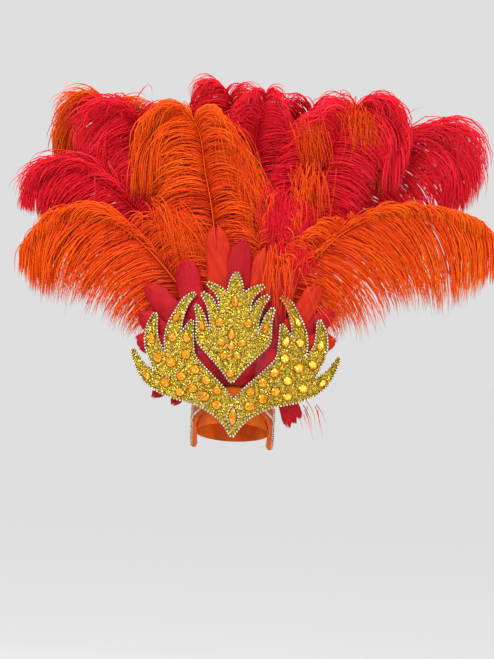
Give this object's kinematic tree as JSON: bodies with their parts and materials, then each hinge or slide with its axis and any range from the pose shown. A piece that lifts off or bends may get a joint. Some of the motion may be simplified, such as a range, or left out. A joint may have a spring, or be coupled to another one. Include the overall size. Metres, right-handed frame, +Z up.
{
  "type": "carnival feather headdress",
  "caption": "Carnival headdress: a satin cap with ear guards carries stone-set gold crown plates and a tall fan of curling ostrich plumes with flat satiny feathers.",
  "frame": {"origin": "where the inside of the cap sits on the top of the wearer's head", "axes": "+Z up, the wearer faces -Y, +X across the head to the viewer's right"},
  "size_m": [1.0323, 0.271, 0.7811],
  "materials": {
    "orange_satin": "orange satin",
    "red_satin": "glossy red satin",
    "orange_feather": "dyed ostrich feather",
    "red_feather": "dyed ostrich and flat feather",
    "gold_glitter": "board covered in gold glitter and sequins",
    "silver_beads": "silvery plastic beads",
    "amber_stone": "faceted amber acrylic",
    "black_board": "plain board"
  },
  "bodies": {
    "root": {"head_cap": "orange_satin", "ear_guard_left": "orange_satin", "ear_guard_right": "orange_satin", "ear_trim_outer_left": "silver_beads", "ear_trim_outer_right": "silver_beads", "ear_trim_brow_left": "silver_beads", "ear_trim_brow_right": "silver_beads", "lower_crown_plate": "gold_glitter", "medallion_plate": "gold_glitter", "medallion_post": "black_board", "satin_backing": "red_satin", "plume_holder": "black_board", "stone_brow_marquise": "amber_stone", "stone_left_brow_oval": "amber_stone", "stone_left_brow_round": "amber_stone", "stone_left_end_oval": "amber_stone", "stone_left_flame_round": "amber_stone", "stone_left_flame_tall": "amber_stone", "stone_left_inner_drop": "amber_stone", "stone_left_large_oval": "amber_stone", "stone_left_outer_drop": "amber_stone", "stone_right_brow_oval": "amber_stone", "stone_right_brow_round": "amber_stone", "stone_right_end_oval": "amber_stone", "stone_right_flame_round": "amber_stone", "stone_right_flame_tall": "amber_stone", "stone_right_inner_drop": "amber_stone", "stone_right_large_oval": "amber_stone", "stone_right_outer_drop": "amber_stone", "stone_medallion_spire_drop": "amber_stone", "stone_medallion_left_round": "amber_stone", "stone_medallion_right_round": "amber_stone", "stone_medallion_left_drop": "amber_stone", "stone_medallion_right_drop": "amber_stone", "stone_medallion_flower_eye": "amber_stone", "stone_medallion_foot_round": "amber_stone", "stone_petal_1": "amber_stone", "stone_petal_2": "amber_stone", "stone_petal_3": "amber_stone", "stone_petal_4": "amber_stone", "stone_petal_5": "amber_stone", "plume_low_left_orange": "orange_feather", "plume_low_right_orange": "orange_feather", "plume_centre_right_orange": "orange_feather", "plume_centre_left_orange": "orange_feather", "plume_upper_right_orange": "orange_feather", "plume_far_left_orange": "orange_feather", "plume_left_red": "red_feather", "plume_upper_right_red": "red_feather", "plume_upper_left_red": "red_feather", "plume_top_centre_red": "red_feather", "plume_top_left_red": "red_feather", "plume_right_red": "red_feather", "plume_top_right_red": "red_feather", "flats_left": "red_feather", "flats_centre": "red_feather", "flats_right": "orange_feather", "flats_low_left": "red_feather", "flats_low_right": "red_feather"}
  },
  "joints": []
}
